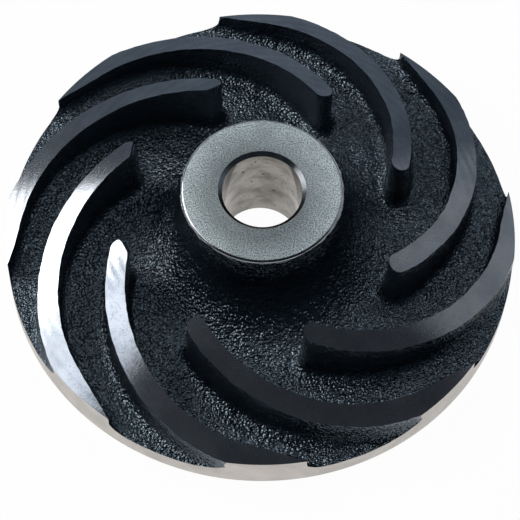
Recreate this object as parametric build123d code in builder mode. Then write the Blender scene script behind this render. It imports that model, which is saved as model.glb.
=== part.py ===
from build123d import *
import os
from math import radians, tan

os.makedirs("parts", exist_ok=True)

# Semi-open centrifugal pump impeller, cast in one piece and then turned.
# Millimetres. The pump shaft's axis is Z, and the turned back of the disc is at z = 0.

# disc
outer_radius = 52.0
disc_thickness = 4.1

# hub, with a wide hollow where its foot runs out into the disc
hub_radius = 16.2
hub_height = 24.6
hub_draft = 1.5
hub_root_radius = 12.0
hub_edge_break = 0.7

# bore for the pump shaft
bore_radius = 8.0
bore_chamfer = 0.8

# shallow recess turned in the back, around the bore
recess_radius = 17.0
recess_depth = 1.4

# vanes: an arc about a centre given in the vane's own frame, then a straight run out past the rim
vane_count = 8
vane_centre_x = 6.4
vane_centre_y = 16.8
vane_arc_radius = 34.5
inner_end_angle = -50.8
run_out_angle = 39.3
vane_run_out = 18.0
vane_root_thickness = 4.5
vane_draft = 1.5

# flare along the foot of each vane
vane_root_flare = 1.3
flare_angle = 45.0

# tops of the vanes, turned to a cone that rises towards the hub
top_height_at_rim = 8.5
top_slope = 23.5

# the cast blank is wider and higher than the finished piece, which is turned out of it
turning_allowance = 2.0
blank_radius = outer_radius + vane_run_out
blank_height = hub_height + turning_allowance
hub_foot_radius = hub_radius + (hub_height - disc_thickness) * tan(radians(hub_draft))
hub_blank_top_radius = hub_radius - turning_allowance * tan(radians(hub_draft))

# the turned cone ends a little outside the hub, so that it leaves the hub's wall as cast
cone_inner_radius = hub_radius + turning_allowance
cone_inner_height = top_height_at_rim + (outer_radius - cone_inner_radius) * tan(radians(top_slope))

# vanes and flares are drawn from a plane inside the disc, and grow out through its front
root_height = disc_thickness - vane_root_flare
root_plane = Plane.XY.offset(root_height)
vane_half_thickness = vane_root_thickness / 2 + vane_root_flare * tan(radians(vane_draft))
flare_half_thickness = vane_root_thickness / 2 + vane_root_flare + vane_root_flare * tan(radians(flare_angle))
flare_height = 3 * vane_root_flare

with BuildLine(root_plane) as vane_line:
    vane_arc = CenterArc(
        (vane_centre_x, vane_centre_y),
        vane_arc_radius,
        inner_end_angle,
        run_out_angle - inner_end_angle,
    )
    PolarLine(vane_arc @ 1, vane_run_out, direction=vane_arc % 1)

with BuildSketch(root_plane) as vane_plan:
    with BuildLine():
        add(vane_line.line)
        offset(amount=vane_half_thickness, side=Side.BOTH)
    make_face()

with BuildSketch(root_plane) as flare_plan:
    with BuildLine():
        add(vane_line.line)
        offset(amount=flare_half_thickness, side=Side.BOTH)
    make_face()

with BuildPart() as impeller:
    # cast disc and hub, and the hollow between them
    with BuildSketch(Plane.XZ) as hub_section:
        with BuildLine():
            Polyline(
                (0, 0),
                (blank_radius, 0),
                (blank_radius, disc_thickness),
                (hub_foot_radius, disc_thickness),
                (hub_blank_top_radius, blank_height),
                (0, blank_height),
                close=True,
            )
        make_face()
        foot_corner = hub_section.vertices().sort_by_distance((hub_foot_radius, disc_thickness))
        fillet(foot_corner[0], hub_root_radius)
    revolve(axis=Axis.Z)

    # cast vanes, with draft
    with BuildSketch(root_plane):
        with PolarLocations(0, vane_count):
            add(vane_plan.sketch)
    extrude(amount=blank_height - root_height, taper=vane_draft)

    # flares, which run up into the walls of the vanes
    with BuildSketch(root_plane):
        with PolarLocations(0, vane_count):
            add(flare_plan.sketch)
    extrude(amount=flare_height, taper=flare_angle)

    # turning: everything outside this section is cut away
    with BuildSketch(Plane.XZ):
        with BuildLine():
            Polyline(
                (0, recess_depth),
                (recess_radius, recess_depth),
                (recess_radius, 0),
                (outer_radius, 0),
                (outer_radius, top_height_at_rim),
                (cone_inner_radius, cone_inner_height),
                (cone_inner_radius, hub_height),
                (0, hub_height),
                close=True,
            )
        make_face()
    revolve(axis=Axis.Z, mode=Mode.INTERSECT)

    # bore, and the edges broken at the hub's face and at both ends of the bore
    Hole(bore_radius)
    hub_face = impeller.faces().filter_by(Plane.XY).sort_by(Axis.Z)[-1]
    chamfer(hub_face.outer_wire().edges(), hub_edge_break)
    bore_wall = impeller.faces().filter_by(GeomType.CYLINDER).sort_by(SortBy.RADIUS)[0]
    chamfer(bore_wall.edges().filter_by(GeomType.CIRCLE), bore_chamfer)

impeller.part.label = "impeller"
export_step(impeller.part, "parts/impeller.step")
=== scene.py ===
import math

import bpy
import numpy as np
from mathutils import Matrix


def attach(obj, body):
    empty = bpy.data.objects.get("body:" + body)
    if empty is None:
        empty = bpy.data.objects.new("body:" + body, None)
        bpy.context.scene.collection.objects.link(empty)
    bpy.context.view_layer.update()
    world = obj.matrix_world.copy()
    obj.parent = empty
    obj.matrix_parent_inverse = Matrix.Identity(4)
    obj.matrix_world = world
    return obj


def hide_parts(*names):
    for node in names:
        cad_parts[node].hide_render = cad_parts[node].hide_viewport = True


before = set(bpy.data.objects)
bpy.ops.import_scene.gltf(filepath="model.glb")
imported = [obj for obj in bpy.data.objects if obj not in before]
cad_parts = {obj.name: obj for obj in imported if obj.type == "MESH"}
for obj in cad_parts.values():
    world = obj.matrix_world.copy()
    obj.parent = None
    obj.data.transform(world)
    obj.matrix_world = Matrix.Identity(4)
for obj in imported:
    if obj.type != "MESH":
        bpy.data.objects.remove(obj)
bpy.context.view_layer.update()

import openvdb
from mathutils import Matrix, Vector

# Pump impeller. The rough casting is a distance field turned into a mesh, with an uneven skin.
# A turned envelope then cuts it to size, and each face is painted by the tool that made it.

# ---------------------------------------------------------------- sizes, in millimetres
MM = 0.001
OUTER_RADIUS = 52.0
DISC_THICKNESS = 4.1
HUB_RADIUS = 16.2
HUB_HEIGHT = 24.6
DRAFT = math.tan(math.radians(1.5))
HUB_ROOT_RADIUS = 12.0
HUB_EDGE = 0.7
BORE_RADIUS = 8.0
BORE_EDGE = 0.8
RECESS_RADIUS = 17.0
RECESS_DEPTH = 1.4

# vanes: an arc about a centre given in the vane's own frame, then a slight bend out to the rim
VANE_COUNT = 8
VANE_CENTRE = (6.4, 16.8)
VANE_RADIUS = 34.5
VANE_START = math.radians(-50.8)
VANE_STRAIGHT = math.radians(39.3)
VANE_BEND = 110.0
VANE_HALF = 2.25
VANE_ROOT_RADIUS = 2.0

# tops of the vanes, turned to a cone that rises towards the hub
TOP_AT_RIM = 8.5
TOP_ANGLE = math.radians(23.5)
TOP_SLOPE = math.tan(TOP_ANGLE)

# the casting before it is turned
TURNING_ALLOWANCE = 2.0
BLANK_RADIUS = OUTER_RADIUS + TURNING_ALLOWANCE
BLANK_TOP = 26.4
BLANK_BOTTOM = -1.6

# inner ends that are cut to a point: vane number, and the cut's two ends as radius and angle on the vane
TIP_CUTS = {
    3: ((32.4, -48.6), (35.3, -54.2)),
    4: ((32.2, -48.8), (35.8, -54.1)),
    5: ((32.3, -48.7), (35.2, -54.2)),
}
TIP_CUT_TILT = math.radians(60)
TIP_CUT_REACH = 9.0

# lumps of the cast skin: height, size and seed
SKIN_LUMPS = ((0.10, 5.0, 3), (0.07, 1.9, 5), (0.08, 1.0, 7))
LATTICE = 64

# fineness of the meshes
CELL = 0.56
PAD_CELLS = 3
BAND_CELLS = 3
SETTLING_STEPS = 3
GRADIENT_STEP = 0.02
SEGMENTS = 360
HUB_EDGE_DEGREES = (75, 60, 45, 30, 15)
SHARP_ANGLE = math.radians(34)
FAR = 1e9
TINY = 1e-9


# ---------------------------------------------------------------- the casting as a distance field
def round_union(a, b, radius):
    """Signed distance of two shapes joined with a hollow corner of that radius."""
    hollow = np.hypot(np.maximum(radius - a, 0), np.maximum(radius - b, 0))
    return np.maximum(radius, np.minimum(a, b)) - hollow


def vane_frames(x, y):
    """Each vane's number, and the plan coordinates turned into that vane's own frame."""
    for i in range(VANE_COUNT):
        turn = -2 * math.pi * i / VANE_COUNT
        yield i, x * math.cos(turn) - y * math.sin(turn), x * math.sin(turn) + y * math.cos(turn)


def on_vane(radius, angle):
    """Point at that radius and angle about the centre of the vane's arc."""
    return VANE_CENTRE[0] + radius * math.cos(angle), VANE_CENTRE[1] + radius * math.sin(angle)


def vane_line_distance(x, y):
    """Distance in plan from the nearest vane's centre line: an arc, then a slight bend outwards."""
    cx, cy = VANE_CENTRE
    tip = on_vane(VANE_RADIUS, VANE_START)
    out = on_vane(VANE_RADIUS, VANE_STRAIGHT)
    bend = on_vane(VANE_RADIUS + VANE_BEND, VANE_STRAIGHT)
    middle = (VANE_START + VANE_STRAIGHT) / 2
    half_span = (VANE_STRAIGHT - VANE_START) / 2
    best = np.full(np.shape(x), FAR)
    for _, u, v in vane_frames(x, y):
        angle = np.arctan2(v - cy, u - cx) - middle
        angle = (angle + math.pi) % (2 * math.pi) - math.pi
        arc = np.abs(np.hypot(u - cx, v - cy) - VANE_RADIUS)
        end = np.hypot(u - tip[0], v - tip[1])
        best = np.minimum(best, np.where(np.abs(angle) <= half_span, arc, end))
        past = (v - out[1]) * math.cos(VANE_STRAIGHT) - (u - out[0]) * math.sin(VANE_STRAIGHT)
        run = np.abs(np.hypot(u - bend[0], v - bend[1]) - VANE_BEND)
        best = np.minimum(best, np.where(past >= 0, run, FAR))
    return best


def top_height(r):
    """Height of the turned cone that the vane tops lie on."""
    return TOP_AT_RIM + (OUTER_RADIUS - r) * TOP_SLOPE


def tip_cuts(x, y, z):
    """Signed distance of the slanting cuts that point the inner ends of three vanes."""
    tip = on_vane(VANE_RADIUS, VANE_START)
    cut = np.full(np.shape(x + z), -FAR)
    for i, u, v in vane_frames(x, y):
        if i not in TIP_CUTS:
            continue
        (from_radius, from_angle), (to_radius, to_angle) = TIP_CUTS[i]
        ax, ay = on_vane(from_radius, math.radians(from_angle))
        bx, by = on_vane(to_radius, math.radians(to_angle))
        length = math.hypot(bx - ax, by - ay)
        across = ((u - ax) * (by - ay) - (v - ay) * (bx - ax)) / length
        lift = z - top_height(np.hypot(u, v))
        plane = across * math.sin(TIP_CUT_TILT) + lift * math.cos(TIP_CUT_TILT)
        near = np.hypot(u - tip[0], v - tip[1]) < TIP_CUT_REACH
        cut = np.where(near, plane, cut)
    return cut


def cast_distance(x, y, z, line):
    """Signed distance of the rough casting, given the distance in plan from the vanes' centre lines."""
    r = np.hypot(x, y)
    disc = z - DISC_THICKNESS
    hub = r - HUB_RADIUS - (HUB_HEIGHT - z) * DRAFT
    vane = line - VANE_HALF + (z - DISC_THICKNESS) * DRAFT
    vane = np.maximum(vane, tip_cuts(x, y, z))
    body = round_union(disc, hub, HUB_ROOT_RADIUS)
    body = round_union(body, vane, VANE_ROOT_RADIUS)
    body = np.maximum(body, r - BLANK_RADIUS)
    return np.maximum(body, np.maximum(z - BLANK_TOP, BLANK_BOTTOM - z))


def cast_distance_at(p):
    """Signed distance of the rough casting at each row of p."""
    return cast_distance(p[:, 0], p[:, 1], p[:, 2], vane_line_distance(p[:, 0], p[:, 1]))


def gradient(p):
    """Unit vector at each row of p that points straight out of the rough casting."""
    g = np.empty_like(p)
    for k in range(3):
        step = np.zeros(3)
        step[k] = GRADIENT_STEP
        g[:, k] = cast_distance_at(p + step) - cast_distance_at(p - step)
    return g / np.maximum(np.linalg.norm(g, axis=1, keepdims=True), TINY)


def lattice_noise(p, cell, seed):
    """Smooth seeded noise from -1 to 1, with features of about one cell."""
    values = np.random.default_rng(seed).uniform(-1, 1, (LATTICE, LATTICE, LATTICE))
    q = p / cell
    base = np.floor(q).astype(int)
    f = q - base
    f = f * f * (3 - 2 * f)
    total = np.zeros(len(p))
    for dx in (0, 1):
        for dy in (0, 1):
            for dz in (0, 1):
                weight = (
                    (f[:, 0] if dx else 1 - f[:, 0])
                    * (f[:, 1] if dy else 1 - f[:, 1])
                    * (f[:, 2] if dz else 1 - f[:, 2])
                )
                i = (base + (dx, dy, dz)) % LATTICE
                total += weight * values[i[:, 0], i[:, 1], i[:, 2]]
    return total


# ---------------------------------------------------------------- meshes
def new_mesh(name, points, faces):
    """Object of that name, from points in millimetres."""
    mesh = bpy.data.meshes.new(name)
    mesh.from_pydata((points * MM).tolist(), [], faces)
    mesh.validate()
    piece = bpy.data.objects.new(name, mesh)
    bpy.context.scene.collection.objects.link(piece)
    return piece


def rough_casting():
    """Closed mesh of the casting with its uneven skin."""
    pad = PAD_CELLS * CELL
    xs = np.arange(-BLANK_RADIUS - pad, BLANK_RADIUS + pad, CELL)
    zs = np.arange(BLANK_BOTTOM - pad, BLANK_TOP + pad, CELL)
    x, y = np.meshgrid(xs, xs, indexing="ij")
    line = vane_line_distance(x, y)[:, :, None]
    field = cast_distance(x[:, :, None], y[:, :, None], zs[None, None, :], line)
    band = BAND_CELLS * CELL
    grid = openvdb.FloatGrid(band)
    grid.copyFromArray(np.clip(field, -band, band).astype(np.float32))
    points, triangles, quads = grid.convertToPolygons(isovalue=0.0, adaptivity=0.0)
    p = np.asarray(points, float) * CELL + (xs[0], xs[0], zs[0])
    for _ in range(SETTLING_STEPS):
        p -= gradient(p) * cast_distance_at(p)[:, None]
    skin = sum(height * lattice_noise(p, size, seed) for height, size, seed in SKIN_LUMPS)
    p += gradient(p) * skin[:, None]
    faces = [tuple(map(int, f)) for f in quads] + [tuple(map(int, f)) for f in triangles]
    return new_mesh("impeller_casting", p, faces)


def turned_outline():
    """Closed section of the turned envelope as (r, z) points."""
    inner = HUB_RADIUS + TURNING_ALLOWANCE
    edge = [
        (HUB_RADIUS - HUB_EDGE + HUB_EDGE * math.sin(a), HUB_HEIGHT - HUB_EDGE + HUB_EDGE * math.cos(a))
        for a in np.radians(HUB_EDGE_DEGREES)
    ]
    return [
        (BORE_RADIUS, RECESS_DEPTH + BORE_EDGE),
        (BORE_RADIUS + BORE_EDGE, RECESS_DEPTH),
        (RECESS_RADIUS, RECESS_DEPTH),
        (RECESS_RADIUS, 0.0),
        (OUTER_RADIUS, 0.0),
        (OUTER_RADIUS, TOP_AT_RIM),
        (inner, top_height(inner)),
        (inner, HUB_HEIGHT - HUB_EDGE),
        (HUB_RADIUS, HUB_HEIGHT - HUB_EDGE),
        *edge,
        (HUB_RADIUS - HUB_EDGE, HUB_HEIGHT),
        (BORE_RADIUS + BORE_EDGE, HUB_HEIGHT),
        (BORE_RADIUS, HUB_HEIGHT - BORE_EDGE),
    ]


def turned_envelope():
    """Ring-shaped solid that holds all that is left after turning."""
    section = turned_outline()
    n = len(section)
    angles = np.arange(SEGMENTS) * 2 * math.pi / SEGMENTS
    points = np.array([(r * math.cos(a), r * math.sin(a), z) for a in angles for r, z in section])
    faces = []
    for i in range(SEGMENTS):
        j = (i + 1) % SEGMENTS
        for k in range(n):
            m = (k + 1) % n
            faces.append((i * n + k, j * n + k, j * n + m, i * n + m))
    return new_mesh("envelope", points, faces)


def turn_to_size(casting):
    """Cut the casting to the turned envelope, and return its new mesh."""
    envelope = turned_envelope()
    cut = casting.modifiers.new("turning", "BOOLEAN")
    cut.operation = "INTERSECT"
    cut.solver = "MANIFOLD"
    cut.object = envelope
    bpy.context.view_layer.update()
    evaluated = casting.evaluated_get(bpy.context.evaluated_depsgraph_get())
    finished = bpy.data.meshes.new_from_object(evaluated)
    casting.modifiers.remove(cut)
    casting.data = finished
    bpy.data.objects.remove(envelope)
    return finished


# ---------------------------------------------------------------- node trees
# places of the colour sockets in a Mix node
MIX_FACTOR = 0
MIX_FIRST = 6
MIX_SECOND = 7
MIX_RESULT = 2
RING_SCALE = 0.05


class Nodes:
    """Short hand for building a node tree."""

    def __init__(self, tree):
        self.tree = tree

    def add(self, kind, **sockets):
        """New node, with its inputs set or linked by name."""
        node = self.tree.nodes.new(kind)
        for name, value in sockets.items():
            self.put(node.inputs[name.replace("_", " ")], value)
        return node

    def put(self, socket, value):
        if isinstance(value, bpy.types.NodeSocket):
            self.tree.links.new(value, socket)
        else:
            socket.default_value = value

    def ramp(self, value, low, high, to_low=0.0, to_high=1.0):
        """Value taken from the range low to high into to_low to to_high, and kept inside that."""
        node = self.add("ShaderNodeMapRange", Value=value)
        node.inputs["From Min"].default_value = low
        node.inputs["From Max"].default_value = high
        node.inputs["To Min"].default_value = to_low
        node.inputs["To Max"].default_value = to_high
        return node.outputs["Result"]

    def math(self, operation, a, b=0.0):
        node = self.tree.nodes.new("ShaderNodeMath")
        node.operation = operation
        self.put(node.inputs[0], a)
        self.put(node.inputs[1], b)
        return node.outputs[0]


class Surface(Nodes):
    """One node material. Sizes and depths are in millimetres."""

    def __init__(self, name):
        self.material = bpy.data.materials.new(name)
        self.material.use_nodes = True
        super().__init__(self.material.node_tree)
        self.shader = self.tree.nodes["Principled BSDF"]
        self.place = self.add("ShaderNodeTexCoord").outputs["Object"]

    def noise(self, size, detail=2.0, roughness=0.5, place=None):
        """Noise with features about that size."""
        place = self.place if place is None else place
        scale = 1 / (size * MM)
        node = self.add("ShaderNodeTexNoise", Vector=place, Scale=scale, Detail=detail, Roughness=roughness)
        return node.outputs["Fac"]

    def cells(self, size):
        """Distance from the middle of the nearest of many cells of about that size."""
        node = self.add("ShaderNodeTexVoronoi", Vector=self.place, Scale=1 / (size * MM))
        return node.outputs["Distance"]

    def rings(self, size, distortion):
        """Fine turning lines around the part's axis, closer together for a smaller size."""
        node = self.add("ShaderNodeTexWave", Vector=self.place, Distortion=distortion, Detail=2.0)
        node.inputs["Scale"].default_value = RING_SCALE / (size * MM)
        node.wave_type = "RINGS"
        node.rings_direction = "Z"
        return node.outputs["Fac"]

    def mix(self, factor, a, b):
        """Colour a where the factor is 0, and colour b where it is 1."""
        node = self.tree.nodes.new("ShaderNodeMix")
        node.data_type = "RGBA"
        self.put(node.inputs[MIX_FACTOR], factor)
        self.put(node.inputs[MIX_FIRST], a)
        self.put(node.inputs[MIX_SECOND], b)
        return node.outputs[MIX_RESULT]

    def distance_from(self, x, y):
        """Distance from the upright line through that point."""
        moved = self.add("ShaderNodeMapping", Vector=self.place, Location=(-x * MM, -y * MM, 0.0))
        parts = self.add("ShaderNodeSeparateXYZ", Vector=moved.outputs["Vector"])
        squares = [self.math("POWER", parts.outputs[k], 2.0) for k in (0, 1)]
        return self.math("MULTIPLY", self.math("SQRT", self.math("ADD", *squares)), 1 / MM)

    def bump(self, height, depth, before=None):
        """Normal that follows the height, on top of the bumps that came before."""
        node = self.add("ShaderNodeBump", Height=height, Distance=depth * MM, Strength=1.0)
        if before is not None:
            self.put(node.inputs["Normal"], before)
        return node.outputs["Normal"]

    def finish(self, **sockets):
        for name, value in sockets.items():
            self.put(self.shader.inputs[name.replace("_", " ")], value)
        return self.material


# ---------------------------------------------------------------- materials
def grey(value, blue=0.0):
    """Linear grey of that green level, with that share less red and 1.6 times that share more blue."""
    return (value * (1 - blue), value, value * (1 + 1.6 * blue), 1.0)


def silver(value):
    """Linear colour of bare iron under this light, with a little less red."""
    return (0.86 * value, value, 1.05 * value, 1.0)


def cast_skin():
    """Black skin of a fine sand casting, whose grain glitters, partly from lamps on the bumps and partly
    from a painted highlight on the middle of each grain.
    """
    m = Surface("cast_skin")
    pebble = m.cells(0.56)
    small = m.cells(0.33)
    lumps = m.noise(1.6, 2.0, 0.5)
    broad = m.noise(7.0, 3.0)
    dark = m.mix(m.ramp(broad, 0.35, 0.65), grey(0.006, 0.40), grey(0.012, 0.36))
    # painted highlight: the middle of each pebble, its top, is painted a lighter grey as a glint
    colour = m.mix(m.ramp(pebble, 0.30, 0.10), dark, grey(0.05, 0.22))
    rough = m.ramp(broad, 0.35, 0.65, 0.14, 0.20)
    bumps = m.bump(lumps, 0.35)
    bumps = m.bump(pebble, -0.23, bumps)
    bumps = m.bump(small, -0.075, bumps)
    return m.finish(
        Base_Color=colour,
        Roughness=rough,
        IOR=1.7,
        Specular_IOR_Level=0.9,
        Specular_Tint=(0.66, 0.84, 1.0, 1.0),
        Normal=bumps,
    )


def vane_top():
    m = Surface("vane_top")
    broad = m.noise(6.0, 3.0)
    fine = m.noise(0.35, 3.0, 0.65)
    colour = m.mix(m.ramp(broad, 0.35, 0.65), grey(0.23, 0.11), grey(0.30, 0.09))
    colour = m.mix(m.ramp(fine, 0.58, 0.75), colour, grey(0.16, 0.10))
    rough = m.ramp(fine, 0.3, 0.7, 0.13, 0.21)
    bumps = m.bump(m.rings(0.3, 1.5), 0.010)
    bumps = m.bump(fine, 0.010, bumps)
    return m.finish(Base_Color=colour, Roughness=rough, Metallic=0.85, Normal=bumps)


def rim_band():
    m = Surface("rim_band")
    broad = m.noise(5.0, 3.0)
    fine = m.noise(0.3, 3.0, 0.65)
    colour = m.mix(m.ramp(broad, 0.35, 0.65), (0.49, 0.46, 0.43, 1), (0.60, 0.56, 0.52, 1))
    rough = m.ramp(fine, 0.3, 0.7, 0.34, 0.5)
    return m.finish(Base_Color=colour, Roughness=rough, Metallic=0.9, Normal=m.bump(fine, 0.03))


def hub_face():
    """Turned face with a painted reflection that makes it brighter outwards from a line a little beside the
    axis, with dark grain.
    """
    m = Surface("hub_face")
    broad = m.noise(4.0, 3.0)
    fine = m.noise(0.30, 2.0, 0.6)
    # painted reflection: lighter towards the outer edge, about a line a little beside the axis
    colour = m.mix(m.ramp(m.distance_from(-1.0, -1.6), 9.5, 16.0), silver(0.40), silver(0.95))
    colour = m.mix(m.ramp(broad, 0.4, 0.7, 0.0, 0.35), colour, silver(0.34))
    colour = m.mix(m.ramp(fine, 0.42, 0.62, 0.0, 0.8), colour, silver(0.12))
    rough = m.ramp(fine, 0.3, 0.7, 0.26, 0.40)
    bumps = m.bump(m.rings(0.25, 1.0), 0.012)
    bumps = m.bump(fine, 0.20, bumps)
    around = m.add("ShaderNodeTangent")
    around.direction_type = "RADIAL"
    around.axis = "Z"
    return m.finish(
        Base_Color=colour,
        Roughness=rough,
        Metallic=0.9,
        Anisotropic=0.85,
        Anisotropic_Rotation=0.25,
        Tangent=around.outputs["Tangent"],
        Normal=bumps,
    )


def turned_edge():
    m = Surface("turned_edge")
    broad = m.noise(3.0, 3.0)
    colour = m.mix(m.ramp(broad, 0.35, 0.65), grey(0.30, 0.05), grey(0.48, 0.04))
    rough = m.ramp(broad, 0.3, 0.7, 0.16, 0.24)
    bumps = m.bump(m.rings(0.25, 1.0), 0.006)
    return m.finish(Base_Color=colour, Roughness=rough, Metallic=1.0, Normal=bumps)


def bore_wall():
    """Bore with brown smudges, shorter along the axis than around it, and a few dark specks."""
    m = Surface("bore_wall")
    stretched = m.add("ShaderNodeMapping", Vector=m.place, Scale=(1.0, 1.0, 1.5)).outputs["Vector"]
    smudge = m.noise(6.0, 4.0, 0.55, stretched)
    fine = m.noise(0.35, 3.0, 0.65)
    specks = m.noise(1.0, 1.0)
    colour = m.mix(m.ramp(smudge, 0.36, 0.62), (0.09, 0.083, 0.072, 1), (0.27, 0.25, 0.225, 1))
    colour = m.mix(m.ramp(specks, 0.69, 0.72), colour, (0.02, 0.018, 0.016, 1))
    rough = m.ramp(smudge, 0.3, 0.7, 0.16, 0.10)
    return m.finish(Base_Color=colour, Roughness=rough, Metallic=0.9, Normal=m.bump(fine, 0.010))


def turned_back():
    m = Surface("turned_back")
    broad = m.noise(8.0, 3.0)
    fine = m.noise(0.35, 3.0, 0.65)
    colour = m.mix(m.ramp(broad, 0.35, 0.65), grey(0.27, 0.03), grey(0.32, 0.02))
    rough = m.ramp(fine, 0.3, 0.7, 0.30, 0.42)
    bumps = m.bump(m.rings(0.35, 1.0), 0.02)
    bumps = m.bump(fine, 0.02, bumps)
    return m.finish(Base_Color=colour, Roughness=rough, Metallic=0.85, Normal=bumps)


# ---------------------------------------------------------------- which tool made each face
MAKERS = (cast_skin, vane_top, rim_band, hub_face, bore_wall, turned_back, turned_edge)
SKIN, TOP, RIM, HUB, BORE, BACK, EDGE = range(len(MAKERS))
NEAR = 0.05
NEAR_EDGE = 0.1
NEAR_FLOOR = 0.01
SAME_SLOPE = 0.02
STRAIGHT_OUT = 0.999
STRAIGHT_IN = -0.99
FLAT_UP = 0.95
SOMEWHAT_UP = 0.1
DOWNWARD = -0.5


def face_kinds(mesh):
    """Index into MAKERS for each face, from where it lies and which way it looks."""
    count = len(mesh.polygons)
    centre = np.empty(count * 3)
    normal = np.empty(count * 3)
    mesh.polygons.foreach_get("center", centre)
    mesh.polygons.foreach_get("normal", normal)
    centre = centre.reshape(-1, 3) / MM
    normal = normal.reshape(-1, 3)
    radius = np.hypot(centre[:, 0], centre[:, 1])
    height = centre[:, 2]
    outward = (normal[:, 0] * centre[:, 0] + normal[:, 1] * centre[:, 1]) / np.maximum(radius, TINY)
    up = normal[:, 2]

    top = np.abs(outward - math.sin(TOP_ANGLE)) < SAME_SLOPE
    top &= np.abs(up - math.cos(TOP_ANGLE)) < SAME_SLOPE
    top &= np.abs(height - top_height(radius)) < NEAR
    rim = (outward > STRAIGHT_OUT) & (radius > OUTER_RADIUS - NEAR)
    hub = (up > SOMEWHAT_UP) & (radius < HUB_RADIUS + NEAR_EDGE)
    hub &= height > HUB_HEIGHT - HUB_EDGE - NEAR_EDGE
    edge = hub & (up < FLAT_UP)
    bore = (outward < STRAIGHT_IN) & (radius < BORE_RADIUS + NEAR)
    recess = (height < RECESS_DEPTH + NEAR_FLOOR) & (radius < RECESS_RADIUS + NEAR_EDGE)
    back = (up < DOWNWARD) | recess

    kind = np.full(count, SKIN)
    for index, chosen in ((BACK, back), (TOP, top), (RIM, rim), (HUB, hub), (EDGE, edge), (BORE, bore)):
        kind[chosen] = index
    return kind


def dress(mesh):
    """Give each face its material, and smooth the mesh between its sharp edges."""
    mesh.materials.clear()
    for maker in MAKERS:
        mesh.materials.append(maker())
    mesh.polygons.foreach_set("material_index", face_kinds(mesh).astype(np.int32))
    mesh.polygons.foreach_set("use_smooth", np.ones(len(mesh.polygons), bool))
    mesh.set_sharp_from_angle(angle=SHARP_ANGLE)
    mesh.update()


casting = rough_casting()
dress(turn_to_size(casting))
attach(casting, "root")
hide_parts("impeller")

# ---------------------------------------------------------------- floor, in metres
FLOOR_HALF = 1.5
FLOOR_DROP = 0.0001
FLOOR_GLOW = 0.975


def floor_material():
    """Pale floor that the camera and reflections see as almost pure white."""
    m = Surface("pale_floor")
    m.finish(Base_Color=(0.95, 0.95, 0.95, 1), Roughness=0.9)
    light = m.add("ShaderNodeEmission", Color=(1, 1, 1, 1), Strength=1.0)
    path = m.add("ShaderNodeLightPath")
    seen = m.math("ADD", path.outputs["Is Camera Ray"], path.outputs["Is Glossy Ray"])
    seen = m.math("ADD", seen, path.outputs["Is Transmission Ray"])
    share = m.math("MULTIPLY", m.math("MINIMUM", seen, 1.0), FLOOR_GLOW)
    mixer = m.add("ShaderNodeMixShader")
    m.put(mixer.inputs[0], share)
    m.put(mixer.inputs[1], m.shader.outputs[0])
    m.put(mixer.inputs[2], light.outputs[0])
    m.put(m.tree.nodes["Material Output"].inputs["Surface"], mixer.outputs[0])
    return m.material


def make_floor():
    corners = [(x * FLOOR_HALF, y * FLOOR_HALF, 0) for x, y in ((-1, -1), (1, -1), (1, 1), (-1, 1))]
    mesh = bpy.data.meshes.new("floor")
    mesh.from_pydata(corners, [], [(0, 1, 2, 3)])
    mesh.materials.append(floor_material())
    plane = bpy.data.objects.new("floor", mesh)
    plane.location.z = -FLOOR_DROP
    bpy.context.scene.collection.objects.link(plane)
    return plane


floor = make_floor()

# ---------------------------------------------------------------- light, in metres and watts
LAMPS_ABOVE_FLOOR = 0.01
WHITE = (1, 1, 1)
WARM_WHITE = (1.0, 0.96, 0.90)
SKY_COLOUR = (0.66, 0.83, 1.0, 1)
SKY_LEAST = 0.035


def toward(azimuth, elevation):
    """Unit vector towards that azimuth and elevation in degrees."""
    azimuth = math.radians(azimuth)
    elevation = math.radians(elevation)
    level = math.cos(elevation)
    return Vector((level * math.cos(azimuth), level * math.sin(azimuth), math.sin(elevation))).normalized()


def soft_light(name, direction, distance, width, height, watts, tint=WHITE):
    """Rectangular lamp in that direction from the part, which faces it."""
    lamp = bpy.data.lights.new(name, "AREA")
    lamp.shape = "RECTANGLE"
    lamp.size = width
    lamp.size_y = height
    lamp.energy = watts
    lamp.color = tint
    holder = bpy.data.objects.new(name, lamp)
    holder.location = direction * distance + Vector((0, 0, LAMPS_ABOVE_FLOOR))
    holder.rotation_euler = direction.to_track_quat("Z", "Y").to_euler()
    bpy.context.scene.collection.objects.link(holder)


def studio_world():
    """Dim blue surroundings, brighter low down and towards the back."""
    world = bpy.data.worlds.new("studio")
    bpy.context.scene.world = world
    world.use_nodes = True
    n = Nodes(world.node_tree)
    direction = n.add("ShaderNodeTexCoord").outputs["Generated"]
    split = n.add("ShaderNodeSeparateXYZ", Vector=direction)
    by_height = n.ramp(split.outputs["Z"], 0.0, 0.55, 1.0, 0.18)
    by_depth = n.ramp(split.outputs["Y"], -0.3, 0.6, 0.06, 0.36)
    background = n.tree.nodes["Background"]
    n.put(background.inputs["Color"], SKY_COLOUR)
    strength = n.math("MAXIMUM", n.math("MULTIPLY", by_height, by_depth), SKY_LEAST)
    n.put(background.inputs["Strength"], strength)


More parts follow.
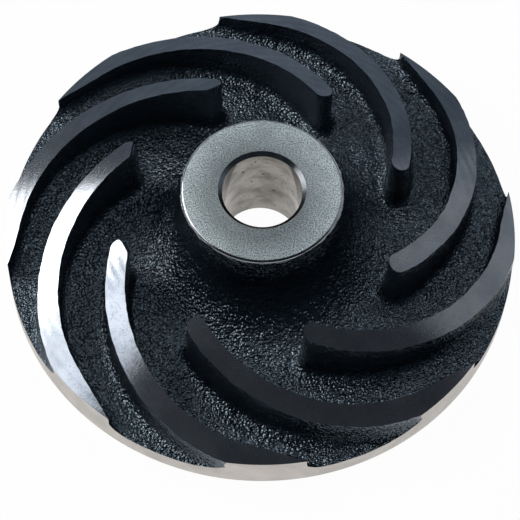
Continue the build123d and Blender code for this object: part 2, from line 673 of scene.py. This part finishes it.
# left_light and left_front_light make the tops of the vanes at the left almost white, back_light is
# what the hub's flat face mirrors, and the grain lights are small, so that the cast skin glitters
soft_light("left_light", toward(166, 36), distance=1.1, width=0.66, height=0.32, watts=5.8, tint=WARM_WHITE)
soft_light("left_front_light", toward(-170, 51), distance=1.1, width=0.40, height=0.26, watts=1.1)
soft_light("left_low_light", toward(178, 12), distance=1.1, width=0.90, height=0.26, watts=1.0)
soft_light("back_light", toward(84, 64), distance=1.1, width=0.60, height=0.50, watts=1.15)
soft_light("right_light", toward(32, 37), distance=1.2, width=0.9, height=0.6, watts=0.77)
soft_light("grain_light_left", toward(135, 56), distance=1.2, width=0.20, height=0.20, watts=0.4)
soft_light("grain_light_right", toward(45, 66), distance=1.2, width=0.20, height=0.20, watts=0.6)
studio_world()

# ---------------------------------------------------------------- camera, solved from the photograph
TURN = math.radians(3.88)
PITCH = math.radians(62.89)
ROLL = math.radians(2.22)
YAW = math.radians(0.03)
CAMERA_AT = Vector((0.0, -0.20925, 0.40272))
FOCAL_PIXELS = 2183.0
PHOTO_PIXELS = 520.0
SENSOR = 36.0
CLIP_START = 0.01


def photo_camera():
    """Camera that sees the part as the photograph does."""
    forward = Vector((math.sin(YAW) * math.cos(PITCH), math.cos(YAW) * math.cos(PITCH), -math.sin(PITCH)))
    right = forward.cross(Vector((0, 0, 1))).normalized()
    upward = right.cross(forward)
    level_right = math.cos(ROLL) * right + math.sin(ROLL) * upward
    level_up = -math.sin(ROLL) * right + math.cos(ROLL) * upward
    spin = Matrix.Rotation(TURN, 3, "Z")
    axes = spin @ Matrix((level_right, level_up, -forward)).transposed()
    lens = bpy.data.cameras.new("camera")
    lens.sensor_width = SENSOR
    lens.lens = FOCAL_PIXELS / PHOTO_PIXELS * SENSOR
    lens.clip_start = CLIP_START
    camera = bpy.data.objects.new("camera", lens)
    camera.matrix_world = Matrix.Translation(spin @ CAMERA_AT) @ axes.to_4x4()
    bpy.context.scene.collection.objects.link(camera)
    return camera


bpy.context.scene.camera = photo_camera()
bpy.context.scene.view_settings.view_transform = "Standard"
